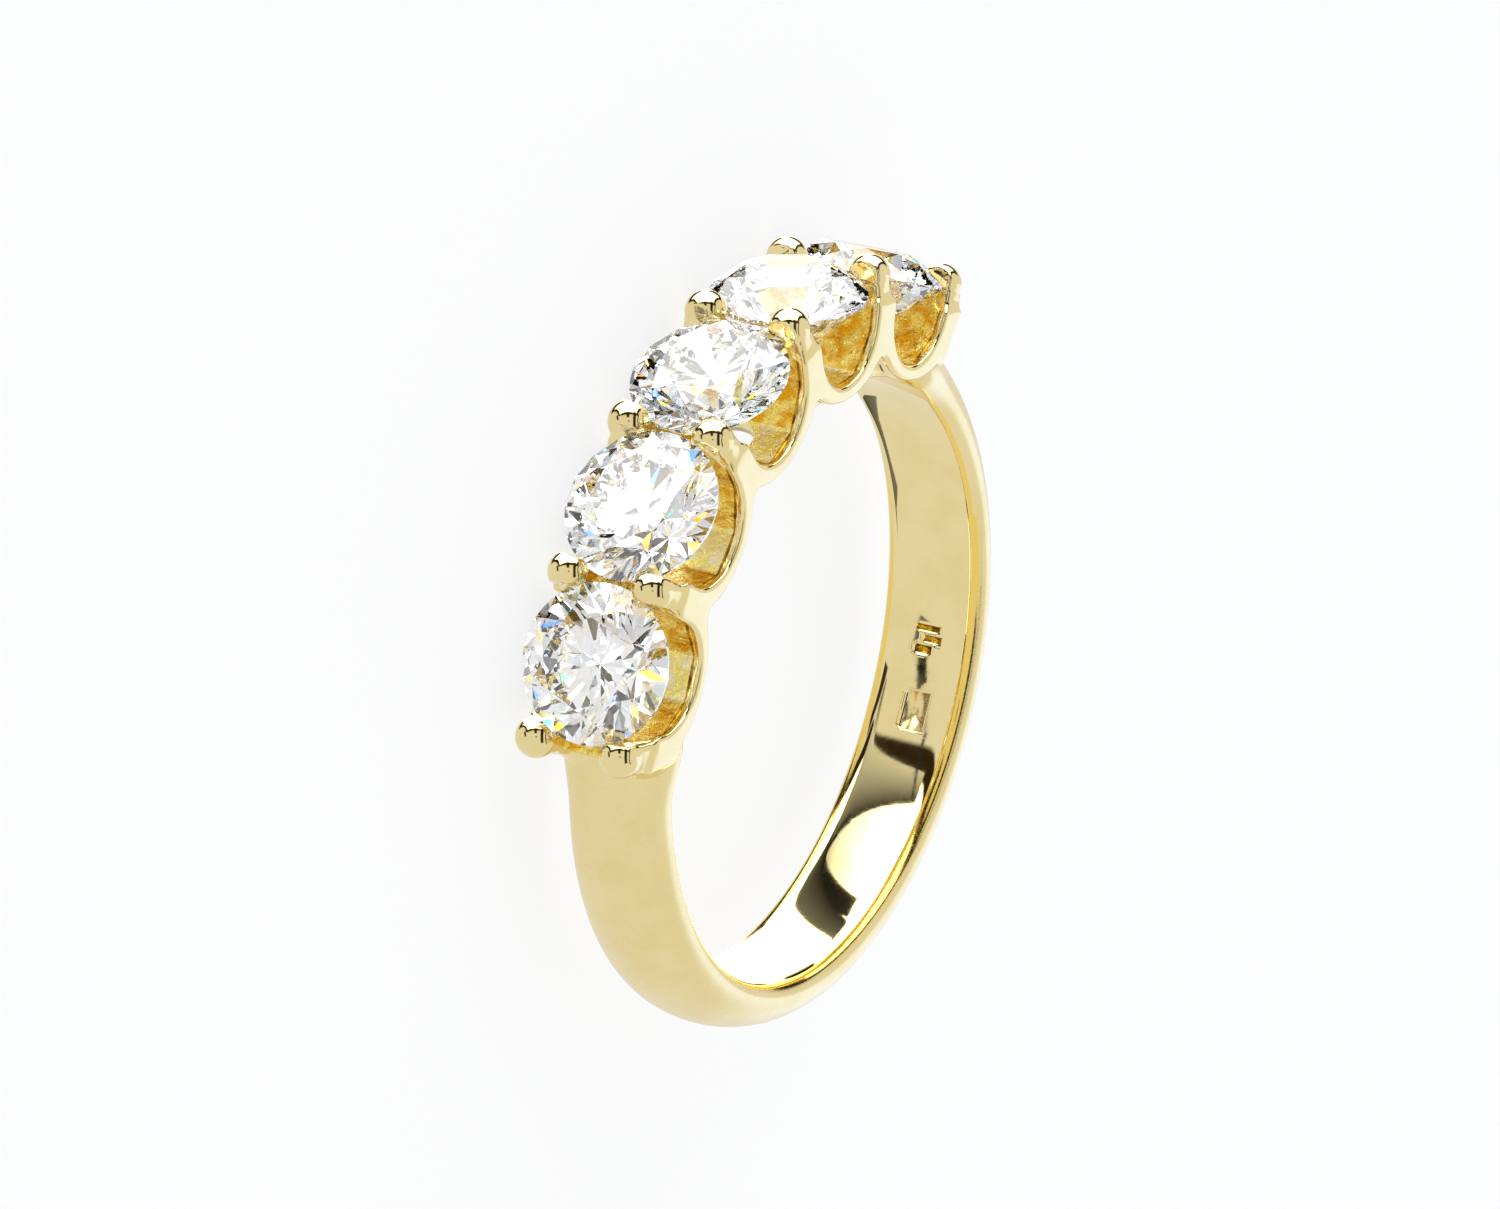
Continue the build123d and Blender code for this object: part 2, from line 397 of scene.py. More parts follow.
def band_profile(shape):
    """The upper half of the band's section, from the middle of its inside to its outside."""
    flat = shape.inner_flat / 2
    half = shape.band_width / 2
    corner = half - flat
    points = [(0, 0), (0, 0.4 * flat), (0, 0.75 * flat), (0, 0.94 * flat)]
    for step in range(1, 5):
        a = math.radians(22.5 * step)
        points.append((shape.edge_height * (1 - math.cos(a)), flat + corner * math.sin(a)))
    dome = shape.band_thickness - shape.edge_height
    for step in range(1, 7):
        a = math.radians(15 * step)
        points.append((shape.edge_height + dome * math.sin(a), half * math.cos(a)))
    return points


def make_wire(shape, name):
    """The ring of wire for the band: its section is set, spun round and worked at each place."""
    profile = band_profile(shape)
    count = 2 * (len(profile) - 1)
    aside = 20
    bpy.ops.mesh.primitive_circle_add(vertices=count, radius=1, fill_type="NOTHING")
    band = started(name)
    set_place(band, (0, -aside, 0), turn=(0, math.pi / 2, 0))
    edit(True)
    for step, (height, side) in enumerate(profile):
        a = FULL_TURN * step / count
        for sign in (1, -1):
            here = Vector((0, -aside + math.cos(a), sign * math.sin(a)))
            pick(lambda p: (p - here).length < 0.01)
            move(y=-shape.bore_radius - height - here.y, z=sign * side - here.z)
            if step in (0, len(profile) - 1):
                break
    edit(False)
    set_place(band, turn=(0, 0, shape.end_angle))
    edit(True)
    bpy.ops.mesh.select_all(action="SELECT")
    steps = 104
    sweep = FULL_TURN - 2 * shape.end_angle
    spin(steps, sweep)
    head_steps = 40
    spin(head_steps, 2 * shape.end_angle)
    bpy.ops.mesh.select_all(action="SELECT")
    bpy.ops.mesh.remove_doubles(threshold=0.001)
    bpy.ops.mesh.normals_make_consistent(inside=False)
    for step in range(steps + 1):
        angle = shape.end_angle + sweep * step / steps
        work_shoulder(shape, angle)
    for step in range(1, head_steps):
        angle = -shape.end_angle + 2 * shape.end_angle * step / head_steps
        work_liner(shape, angle)
    edit(False)
    modify(band, "SUBSURF", levels=1, render_levels=1)
    return band


# The blank marks punched in the bore: angle in degrees, half length round the ring, lower and
# upper side along the finger, and depth
MARKS = (
    (-141.3, 0.60, -0.25, 0.42, 0.06),
    (-125.2, 0.09, -0.32, 0.38, 0.06),
    (-127.2, 0.10, -0.05, 0.46, 0.07),
    (-129.4, 0.12, -0.28, 0.20, 0.06),
)


def make_band(shape):
    """The band, drilled under each stone and punched with the blank marks."""
    band = make_wire(shape, "band")
    cut(band, around(drill(shape), shape.bays, "back_holes"))
    taper = 0.9
    for angle, half, low, high, depth in MARKS:
        mark = block("mark", shape.bore_radius - PAST / 2, shape.bore_radius + depth,
                     half, half * taper, low, high)
        set_place(mark, turn=(0, 0, math.radians(angle)))
        cut(band, mark)
    return band


def drill(shape):
    """What drills the hole under the stone at angle 0."""
    bpy.ops.mesh.primitive_cylinder_add(
        vertices=64, radius=shape.back_hole, depth=2,
        location=(0, -shape.bore_radius, 0), rotation=(math.pi / 2, 0, 0))
    obj = started("drill")
    set_place(obj, obj.location.copy(), turn=obj.rotation_euler.copy())
    return obj


def out_at(angle, radius):
    """The point this far out at an angle."""
    return Vector((radius * math.sin(angle), -radius * math.cos(angle), 0))


def pick_place(angle, test=None):
    """In edit mode, selects the section of the band at this angle, or part of it."""
    across = out_at(angle + math.pi / 2, 1)
    out = out_at(angle, 1)
    pick(lambda p: abs(p.dot(across)) < 0.02 and p.dot(out) > 0
         and (test is None or test(p.dot(out), p.z)))


# How far round the ring the band flares towards its root, and how much wider than opposite the
# stones its flat inside is there
ROOT_SWEEP = math.radians(13.8)
FLAT_GROWTH = 0.27


def work_shoulder(shape, angle):
    """Gives the band its width and thickness at one place."""
    away = min(angle, FULL_TURN - angle)
    share = (math.pi - away) / (math.pi - shape.end_angle)
    swell = share ** 3
    root = max(0.0, 1 - (away - shape.end_angle) / ROOT_SWEEP)
    root = root * root * (3 - 2 * root)
    thickness = shape.band_thickness + (shape.shoulder_thickness - shape.band_thickness) * swell
    width = shape.band_width + (shape.shoulder_width - shape.band_width) * swell
    width += (shape.root_width - width) * root
    about = out_at(angle, shape.bore_radius)
    pick_place(angle)
    grow(y=thickness / shape.band_thickness, z=width / shape.band_width, about=about, turn=angle)
    inside = shape.bore_radius + 0.02
    flat = 1 + FLAT_GROWTH * share ** 1.5
    pick_place(angle, lambda out, z: out < inside)
    grow(z=flat, about=about, turn=angle)


def work_liner(shape, angle):
    """Thins the band under the stones, where the gallery stands on it."""
    about = out_at(angle, shape.bore_radius)
    pick_place(angle)
    grow(y=shape.liner_thickness / shape.band_thickness, z=shape.liner_width / shape.band_width,
         about=about, turn=angle)


# The side walls with their claws

def make_scallop(shape):
    """One scallop of a side wall, with its opening, at angle 0."""
    inner = shape.gallery_half_width - shape.wall
    outer = shape.gallery_half_width
    wall = disc("scallop", shape.lobe_radius, shape.lobe_centre, inner, outer)
    hole = disc("hole", shape.opening_radius, shape.opening_centre, inner - PAST, outer + PAST)
    cut(wall, hole)
    side = shape.opening_radius * math.cos(shape.half_pitch)
    low = shape.opening_centre - shape.opening_radius * math.sin(shape.half_pitch)
    rise = 4.0
    slot = block("slot", low, low + rise, side, side + rise * math.tan(shape.half_pitch),
                 inner - PAST, outer + PAST)
    cut(wall, slot)
    wall_top = shape.girdle - 0.55
    top = block("top", wall_top, wall_top + BEYOND, BEYOND, BEYOND, inner - PAST, outer + PAST)
    cut(wall, top)
    return wall


def make_claw(shape):
    """One claw at angle 0: a post with rounded corners, leaning inwards, under a ball."""
    foot = shape.bore_radius + 0.75
    dome = shape.ball_out
    inner = shape.claw_inner
    outer = shape.gallery_half_width
    taper = 0.93
    claw = block("claw", foot, dome, shape.claw_half, shape.claw_half * taper, inner, outer)
    edit(True)
    bpy.ops.mesh.select_all(action="SELECT")
    lean_from = shape.bore_radius + 1.6
    bpy.ops.mesh.bisect(plane_co=(0, -lean_from, 0), plane_no=(0, 1, 0))
    pick(lambda p: abs(p.y + dome) < 0.001)
    waist = 0.07
    grow(z=1 - (CLAW_LEAN + waist) / (outer - inner), about=(0, -dome, inner))
    move(z=waist)
    long_edge = shape.claw_half * 0.8
    pick(lambda p: abs(p.x) > long_edge
         and all(abs(p.y + level) > 0.05 for level in (dome, foot, lean_from)), "edges")
    corner = 0.32
    bpy.ops.mesh.bevel(offset=corner, segments=6, profile=0.5, affect="EDGES")
    edit(False)
    return joined([claw, make_ball(shape)], "claw")


def make_ball(shape):
    """The ball on top of the claw at angle 0."""
    bpy.ops.mesh.primitive_uv_sphere_add(segments=64, ring_count=48, radius=shape.claw_dome)
    ball = started("ball")
    set_place(ball, (0, -shape.ball_out, shape.ball_side))
    return ball


def round_tops(side, shape):
    """Draws the skin of the claws' tops onto true balls."""
    middles = [out_at(angle, shape.ball_out) + Vector((0, 0, shape.ball_side))
               for angle in shape.claws]
    skin = 0.06
    neck = shape.ball_out - 0.15
    side.vertex_groups.new(name="tops")
    only(side)
    edit(True)
    pick(lambda p: p.xy.length > neck
         and any(abs((p - middle).length - shape.claw_dome) < skin for middle in middles))
    bpy.ops.object.vertex_group_assign()
    edit(False)
    balls = around(make_ball(shape), shape.claws, "balls")
    modify(side, "SHRINKWRAP", target=balls, vertex_group="tops",
           wrap_method="NEAREST_SURFACEPOINT")
    bpy.data.objects.remove(balls)


def make_tongue(shape, angle):
    """The tongue of an end claw: a skin of the band round the claw's foot, a hair proud of it."""
    tongue = make_wire(shape, "tongue")
    proud = 1.004
    set_place(tongue, scale=(proud, proud, 1))
    middle = angle + math.copysign(math.radians(1.3), angle)
    out = shape.bore_radius + 1.6
    side = 0.86
    radius = 0.84
    bpy.ops.mesh.primitive_cylinder_add(
        vertices=64, radius=radius, depth=2, location=(0, -out, side),
        rotation=(math.pi / 2, 0, 0))
    keep = started("keep")
    set_place(keep, keep.location.copy(), turn=keep.rotation_euler.copy())
    set_place(keep, turn=(0, 0, middle))
    modify(tongue, "BOOLEAN", object=keep, operation="INTERSECT", solver="EXACT")
    bpy.data.objects.remove(keep)
    return tongue


def make_skirt(shape, angle):
    """The foot of an end claw, that spreads out where it stands on the band."""
    low = shape.bore_radius + 1.1
    height = 1.1
    half_low = 0.66
    half_high = 0.42
    inner = 0.92
    outer = 1.62
    skirt = block("skirt", low, low + height, half_low, half_high, inner, outer)
    away = math.copysign(math.radians(1.0), angle)
    set_place(skirt, turn=(0, 0, angle + away))
    return skirt


def make_side(shape):
    """The side wall on the +Z side: scallops, claws and their feet melted into one."""
    parts = [
        around(make_scallop(shape), shape.bays, "scallops"),
        around(make_claw(shape), shape.claws, "claws"),
    ]
    for angle in (shape.claws[0], shape.claws[-1]):
        parts.append(make_tongue(shape, angle))
        parts.append(make_skirt(shape, angle))
    side = joined(parts, "gallery_near")
    fused(side, COARSE)
    depth = shape.gallery_half_width - shape.rim
    room = 0.05
    cut(side, around(make_channel(shape, depth, room), shape.bays, "channels"))
    cut(side, around(seat(shape), shape.bays, "seats"))
    fused(side, FINE)
    polished(side, 13)
    foot_top = shape.bore_radius + 2.3
    foot_start = shape.end_angle - 0.02
    polished(side, 45, lambda p: p.xy.length < foot_top
             and abs(math.atan2(p.x, -p.y)) > foot_start)
    round_tops(side, shape)
    polished(side, 2)
    return side


# The cups

def make_channel(shape, half_length, room=0.0):
    """The space of one cup at angle 0: a channel that goes round outside the side opening."""
    radius = shape.opening_radius + room
    corner = radius * math.tan(math.pi / 8)
    knee = shape.opening_centre - corner
    channel = block("channel", shape.opening_centre - radius, knee, corner, radius,
                    -half_length, half_length)
    edit(True)
    pick(lambda p: abs(p.y + knee) < 0.001, "faces")
    rise = 3.5
    extrude(y=-rise)
    grow(x=(radius + rise * math.tan(shape.half_pitch)) / radius, about=(0, -knee - rise, 0))
    edit(False)
    outwards(channel)
    return channel


def make_cups(shape):
    """The walls between the stones, cast in one with the floor of each cup."""
    reach = shape.gallery_half_width - shape.rim
    half = shape.gallery_half_width - shape.wall + 0.05
    low = shape.bore_radius + 0.10
    high = shape.bore_radius + 2.60
    bpy.ops.mesh.primitive_plane_add(size=1)
    core = started("cups")
    set_place(core, (0, -(low + high) / 2, 0), turn=(0, math.pi / 2, 0),
              scale=(2 * half, high - low, 1))
    set_place(core, turn=(0, 0, -shape.end_angle))
    edit(True)
    bpy.ops.mesh.select_all(action="SELECT")
    spin(64, 2 * shape.end_angle)
    edit(False)
    outwards(core)
    inside = 0.14
    lining = disc("lining", shape.lobe_radius - inside, shape.lobe_centre, -reach, reach)
    lining_top = high - 0.55
    cut(lining, block("top", lining_top, lining_top + BEYOND, BEYOND, BEYOND,
                      -reach - PAST, reach + PAST))
    walls = joined([core, around(lining, shape.bays, "linings")], "cups")
    fused(walls, COARSE)
    cut(walls, around(make_channel(shape, reach + PAST), shape.bays, "cup_spaces"))
    cut(walls, around(seat(shape), shape.bays, "seats"))
    cut(walls, around(drill(shape), shape.bays, "back_holes"))
    fused(walls, FINE)
    polished(walls, 3)
    return walls


# Materials

def add(tree, kind, place=(0, 0), **values):
    """Adds a node and sets its attributes."""
    node = tree.nodes.new(kind)
    node.location = place
    for key, value in values.items():
        setattr(node, key, value)
    return node


def wire(tree, start, end):
    tree.links.new(start, end)


def new_material(name):
    """An empty node material with its shader and output."""
    material = bpy.data.materials.new(name)
    material.use_nodes = True
    tree = material.node_tree
    tree.nodes.clear()
    shader = add(tree, "ShaderNodeBsdfPrincipled", (300, 0))
    output = add(tree, "ShaderNodeOutputMaterial", (600, 0))
    wire(tree, shader.outputs["BSDF"], output.inputs["Surface"])
    return material, tree, shader


def make_grain_group():
    """Fine grain and broad drift of tone, measured in millimetres on the object."""
    group = bpy.data.node_groups.new("metal_grain", "ShaderNodeTree")
    face = group.interface
    for socket in ("Grain size", "Drift size"):
        face.new_socket(socket, in_out="INPUT", socket_type="NodeSocketFloat").default_value = 1.0
    face.new_socket("Grain", in_out="OUTPUT", socket_type="NodeSocketFloat")
    face.new_socket("Drift", in_out="OUTPUT", socket_type="NodeSocketFloat")
    start = add(group, "NodeGroupInput", (-800, 0))
    end = add(group, "NodeGroupOutput", (400, 0))
    place = add(group, "ShaderNodeTexCoord", (-800, 200))
    for row, (socket, out) in enumerate((("Grain size", "Grain"), ("Drift size", "Drift"))):
        size = add(group, "ShaderNodeMath", (-600, -200 * row), operation="DIVIDE")
        size.inputs[0].default_value = 1 / PER_MM
        wire(group, start.outputs[socket], size.inputs[1])
        noise = add(group, "ShaderNodeTexNoise", (-300, -200 * row))
        noise.inputs["Detail"].default_value = 4
        noise.inputs["Roughness"].default_value = 0.6
        wire(group, place.outputs["Object"], noise.inputs["Vector"])
        wire(group, size.outputs[0], noise.inputs["Scale"])
        wire(group, noise.outputs["Fac"], end.inputs[out])


# Each finish of the gold: its roughness from and to, the size and depth of its grain and the size
# of its drift in millimetres, and the two tones that it drifts between
FINISHES = (
    ("gold_satin", 0.20, 0.30, 0.08, 0.0015, 1.6, "gold", "pale_gold"),
    ("gold_mirror", 0.03, 0.06, 0.25, 0.0003, 1.6, "gold", "pale_gold"),
    ("gold_polished", 0.06, 0.12, 0.20, 0.0006, 1.6, "gold", "pale_gold"),
    # Painted reflection in deeper gold along the bore's rounded edges
    ("gold_edge", 0.10, 0.20, 0.10, 0.0010, 1.6, "deep_gold", "deep_gold"),
    # Painted shade and bounce light in the cups, drifting at random between the two tones; the
    # roughness and bump are the real cast surface
    ("gold_cast", 0.12, 0.32, 0.26, 0.14, 0.4, "cast_gold", "cup_gold"),
    # Painted reflection on the floors of the cups
    ("gold_cup_floor", 0.2, 0.4, 0.16, 0.06, 0.4, "cup_gold", "floor_gold"),
    # Painted shade in the grooves inside the cups' rims and on the punched marks
    ("gold_seam", 0.2, 0.4, 0.16, 0.02, 0.4, "seam_gold", "cast_gold"),
)


def make_gold(name, shiny, rough, grain_size, depth, drift_size, first, second):
    """Gold of one finish: its grain sets roughness and bump, its drift the tone."""
    material, tree, shader = new_material(name)
    grain = add(tree, "ShaderNodeGroup", (-700, 0))
    grain.node_tree = bpy.data.node_groups["metal_grain"]
    grain.inputs["Grain size"].default_value = grain_size
    grain.inputs["Drift size"].default_value = drift_size
    tone = add(tree, "ShaderNodeMix", (-300, 200), data_type="RGBA")
    tone.inputs["A"].default_value = first
    tone.inputs["B"].default_value = second
    spread = add(tree, "ShaderNodeMapRange", (-500, 200))
    spread.inputs["From Min"].default_value = 0.40
    spread.inputs["From Max"].default_value = 0.60
    wire(tree, grain.outputs["Drift"], spread.inputs["Value"])
    wire(tree, spread.outputs["Result"], tone.inputs["Factor"])
    wire(tree, tone.outputs["Result"], shader.inputs["Base Color"])
    gloss = add(tree, "ShaderNodeMapRange", (-300, -50))
    gloss.inputs["From Min"].default_value = 0.3
    gloss.inputs["From Max"].default_value = 0.7
    gloss.inputs["To Min"].default_value = shiny
    gloss.inputs["To Max"].default_value = rough
    wire(tree, grain.outputs["Grain"], gloss.inputs["Value"])
    wire(tree, gloss.outputs["Result"], shader.inputs["Roughness"])
    bump = add(tree, "ShaderNodeBump", (-100, -250))
    bump.inputs["Strength"].default_value = 1.0
    bump.inputs["Distance"].default_value = depth * PER_MM
    wire(tree, grain.outputs["Grain"], bump.inputs["Height"])
    wire(tree, bump.outputs["Normal"], shader.inputs["Normal"])
    shader.inputs["Metallic"].default_value = 1.0


def make_stone_material(colours):
    """Clear stone whose facets are tinted at random with painted fire: faint colours that stand in
    for the light that cut stones split.
    """
    material, tree, shader = new_material("brilliant_stone")
    shader.inputs["Transmission Weight"].default_value = 1.0
    shader.inputs["IOR"].default_value = 2.417
    shader.inputs["Roughness"].default_value = 0.0
    facing = add(tree, "ShaderNodeNewGeometry", (-1200, 0))
    steps = add(tree, "ShaderNodeVectorMath", (-1000, 0), operation="SNAP")
    steps.inputs[1].default_value = (0.05, 0.05, 0.05)
    wire(tree, facing.outputs["True Normal"], steps.inputs[0])
    dice = add(tree, "ShaderNodeTexWhiteNoise", (-800, 0), noise_dimensions="3D")
    wire(tree, steps.outputs["Vector"], dice.inputs["Vector"])
    painted_fire = add(tree, "ShaderNodeValToRGB", (-600, 0))
    painted_fire.color_ramp.interpolation = "CONSTANT"
    ramp = painted_fire.color_ramp.elements
    ramp[0].position = 0.0
    ramp[0].color = colours.stone
    # Painted fire: the warm and cool tints that stand in for split light on a facet
    ramp[1].position = 0.70
    ramp[1].color = (1.0, 0.93, 0.76, 1)
    for position, tint in (
        (0.78, (0.80, 0.91, 1.0, 1)),
        (0.85, (1.0, 0.72, 0.45, 1)),
        (0.91, (0.60, 0.78, 1.0, 1)),
        (0.96, (0.70, 1.0, 0.92, 1)),
    ):
        ramp.new(position).color = tint
    wire(tree, dice.outputs["Value"], painted_fire.inputs["Fac"])
    grain = add(tree, "ShaderNodeGroup", (-600, -300))
    grain.node_tree = bpy.data.node_groups["metal_grain"]
    grain.inputs["Grain size"].default_value = 0.5
    grain.inputs["Drift size"].default_value = 0.9
    # Where the drift is high, a facet takes its painted fire
    tint = add(tree, "ShaderNodeMix", (-200, 0), data_type="RGBA")
    tint.inputs["A"].default_value = colours.stone
    wire(tree, painted_fire.outputs["Color"], tint.inputs["B"])
    wire(tree, grain.outputs["Drift"], tint.inputs["Factor"])
    wire(tree, tint.outputs["Result"], shader.inputs["Base Color"])


# The stage

# The camera's place, fitted to the photo's view: angles in radians, lengths in millimetres
CAMERA_TURN = 0.7078
CAMERA_RISE = 0.4628
CAMERA_ROLL = 1.7997
CAMERA_DISTANCE = 245.5
CAMERA_SIDE = -0.9444
CAMERA_UP = 1.8140
CAMERA_LENS = 220.86


def camera_matrix():
    """The camera's place and turn, in metres."""
    back = Vector((
        math.sin(CAMERA_TURN) * math.cos(CAMERA_RISE),
        -math.cos(CAMERA_TURN) * math.cos(CAMERA_RISE),
        math.sin(CAMERA_RISE),
    ))
    right = (-back).cross(Vector((0, 0, 1))).normalized()
    up = right.cross(-back)
    across = math.cos(CAMERA_ROLL) * right + math.sin(CAMERA_ROLL) * up
    upwards = -math.sin(CAMERA_ROLL) * right + math.cos(CAMERA_ROLL) * up
    place = back * CAMERA_DISTANCE + across * CAMERA_SIDE + upwards * CAMERA_UP
    matrix = Matrix((across, upwards, back)).transposed().to_4x4()
    matrix.translation = place * PER_MM
    return matrix


def make_camera():
    """The camera at the photo's angle."""
    data = bpy.data.cameras.new("camera")
    data.sensor_width = 36
    data.lens = CAMERA_LENS
    data.clip_start = 0.01
    data.clip_end = 10
    camera = bpy.data.objects.new("camera", data)
    bpy.context.scene.collection.objects.link(camera)
    camera.matrix_world = camera_matrix()
    bpy.context.scene.camera = camera


def make_card_group():
    """A mask that is 1 on a card of the light tent and fades out past its edges, in degrees."""
    group = bpy.data.node_groups.new("studio_card", "ShaderNodeTree")
    face = group.interface
    sockets = ("Lift", "Side", "Lift middle", "Lift half", "Side middle", "Side half", "Soft")
    for socket in sockets:
        face.new_socket(socket, in_out="INPUT", socket_type="NodeSocketFloat")
    face.new_socket("Mask", in_out="OUTPUT", socket_type="NodeSocketFloat")
    start = add(group, "NodeGroupInput", (-900, 0))
    end = add(group, "NodeGroupOutput", (500, 0))
    masks = []
    for row, axis in enumerate(("Lift", "Side")):
        off = add(group, "ShaderNodeMath", (-600, -300 * row), operation="SUBTRACT")
        wire(group, start.outputs[axis], off.inputs[0])
        wire(group, start.outputs[f"{axis} middle"], off.inputs[1])
        far = add(group, "ShaderNodeMath", (-450, -300 * row), operation="ABSOLUTE")
        wire(group, off.outputs[0], far.inputs[0])
        past = add(group, "ShaderNodeMath", (-300, -300 * row), operation="SUBTRACT")
        wire(group, far.outputs[0], past.inputs[0])
        wire(group, start.outputs[f"{axis} half"], past.inputs[1])
        fade = add(group, "ShaderNodeMapRange", (-100, -300 * row), interpolation_type="SMOOTHSTEP")
        wire(group, past.outputs[0], fade.inputs["Value"])
        wire(group, start.outputs["Soft"], fade.inputs["From Max"])
        fade.inputs["To Min"].default_value = 1.0
        fade.inputs["To Max"].default_value = 0.0
        masks.append(fade.outputs["Result"])
    both = add(group, "ShaderNodeMath", (200, 0), operation="MULTIPLY")
    wire(group, masks[0], both.inputs[0])
    wire(group, masks[1], both.inputs[1])
    wire(group, both.outputs[0], end.inputs["Mask"])


# The cards of the light tent, as seen from the ring. Lift is how far above the camera a card is,
# round the ring from front to back, and side how far to its right, both in degrees. Then come the
# card's half height and half width, the softness of its edge and its light.
CARDS = (
    # A cool light behind, the window's frame, the window, and the light strip above it
    ((-176, 48), (20, 20), 32, (1.10, 1.22, 1.62)),
    ((92, -3), (56, 50), 3, (0.03, 0.02, 0.01)),
    ((88, -3), (38, 40), 3, (3.0, 3.0, 3.0)),
    ((146, -2), (24, 5), 3, (3.0, 3.0, 3.0)),
    # Two bars beside the strip, a short bar above the camera and a long one beside it
    ((131, -30), (3.5, 16), 2, (0.03, 0.03, 0.03)),
    ((131, 25), (3.5, 16), 2, (0.03, 0.03, 0.03)),
    ((34, -4), (14, 6), 2, (0.03, 0.02, 0.01)),
    ((8, 30), (44, 6), 3, (0.03, 0.02, 0.01)),
    # The lens, and a thin bar far out on either side
    ((0, 0), (3, 3), 1, (0.0, 0.0, 0.0)),
    ((28, -61), (24, 4), 2, (0.05, 0.03, 0.01)),
    ((-5, 50), (55, 2), 1.5, (0.1, 0.08, 0.06)),
)
TENT = 0.86


def make_world():
    """A white light tent with a window above, its dark frame and dark bars by the camera."""
    world = bpy.data.worlds.new("light_tent")
    bpy.context.scene.world = world
    world.use_nodes = True
    tree = world.node_tree
    tree.nodes.clear()
    place = add(tree, "ShaderNodeTexCoord", (-1800, 0))
    axes = camera_matrix().to_3x3().transposed()
    parts = []
    for row in range(3):
        along = add(tree, "ShaderNodeVectorMath", (-1600, -200 * row), operation="DOT_PRODUCT")
        wire(tree, place.outputs["Generated"], along.inputs[0])
        along.inputs[1].default_value = axes[row]
        parts.append(along.outputs["Value"])
    lift = add(tree, "ShaderNodeMath", (-1400, 0), operation="ARCTAN2")
    wire(tree, parts[1], lift.inputs[0])
    wire(tree, parts[2], lift.inputs[1])
    side = add(tree, "ShaderNodeMath", (-1400, -200), operation="ARCSINE")
    wire(tree, parts[0], side.inputs[0])
    degrees = []
    for row, angle in enumerate((lift, side)):
        scaled = add(tree, "ShaderNodeMath", (-1200, -200 * row), operation="DEGREES")
        wire(tree, angle.outputs[0], scaled.inputs[0])
        degrees.append(scaled.outputs[0])
    light = None
    for number, (middle, half, soft, level) in enumerate(CARDS):
        card = add(tree, "ShaderNodeGroup", (-900, -300 * number))
        card.node_tree = bpy.data.node_groups["studio_card"]
        wire(tree, degrees[0], card.inputs["Lift"])
        wire(tree, degrees[1], card.inputs["Side"])
        card.inputs["Lift middle"].default_value = middle[0]
        card.inputs["Side middle"].default_value = middle[1]
        card.inputs["Lift half"].default_value = half[0]
        card.inputs["Side half"].default_value = half[1]
        card.inputs["Soft"].default_value = soft
        mix = add(tree, "ShaderNodeMix", (-600, -300 * number), data_type="RGBA")
        if light is None:
            mix.inputs["A"].default_value = (TENT, TENT, TENT, 1)
        else:
            wire(tree, light, mix.inputs["A"])
        mix.inputs["B"].default_value = level + (1,)
        wire(tree, card.outputs["Mask"], mix.inputs["Factor"])
        light = mix.outputs["Result"]
    background = add(tree, "ShaderNodeBackground", (0, 0))
    background.inputs["Strength"].default_value = 1.0
    wire(tree, light, background.inputs["Color"])
    output = add(tree, "ShaderNodeOutputWorld", (300, 0))
    wire(tree, background.outputs["Background"], output.inputs["Surface"])


def make_floor(colours):
    """The pale floor that the ring lies on."""
    lowest = cad_box[0][2]
    width = 3.0
    bpy.ops.mesh.primitive_plane_add(size=width, location=(0, 0, lowest))
    floor = started("floor")
    material, tree, shader = new_material("floor")
    shader.inputs["Roughness"].default_value = 0.8
    shader.inputs["Specular IOR Level"].default_value = 0.1
    shader.inputs["Base Color"].default_value = (0.2, 0.2, 0.2, 1)
    shader.inputs["Emission Color"].default_value = colours.floor
    shader.inputs["Emission Strength"].default_value = 0.83
    floor.data.materials.append(material)
    floor.visible_glossy = False
    floor.visible_transmission = False
    floor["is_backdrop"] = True


# Each flag: its middle and its size along X and Y in millimetres, its turn in degrees, and its
# light at the low and the high end of its own X
FLAGS = (
    ((-3.9, 1.5), (3.4, 3.6), 240, 0.10, 3.00),
    ((-2.26, -0.28), (1.4, 6.2), 12, 0.00, 0.80),
    ((-3.4, 2.2), (2.0, 0.22), 101, 0.02, 0.02),
    ((-5.25, 2.44), (1.3, 3.4), 120, 0.01, 0.03),
    ((-5.4, 3.4), (1.7, 4.6), 96.5, 0.02, 0.20),
    ((0.42, -0.9), (1.5, 0.13), 58, 0.04, 0.04),
    ((-1.1, -1.98), (2.6, 0.18), 23, 0.03, 0.03),
    ((0.64, 0.66), (1.05, 0.60), 80, 0.01, 0.01),
    ((0.75, 1.6), (1.2, 0.9), 150, 0.45, 0.10),
)
# The level of the first flag, and how much higher each next one lies
FLAG_LEVEL = -4.0
FLAG_STEP = 0.01
# The flags are louvred: they are seen at this facing only, give or take the room
LOUVRE = 0.555
LOUVRE_ROOM = 0.07


def hidden(card, but):
    """Hides a card of the stage from every kind of ray but one."""
    for kind in ("camera", "diffuse", "glossy", "transmission", "shadow"):
        setattr(card, f"visible_{kind}", kind == but)


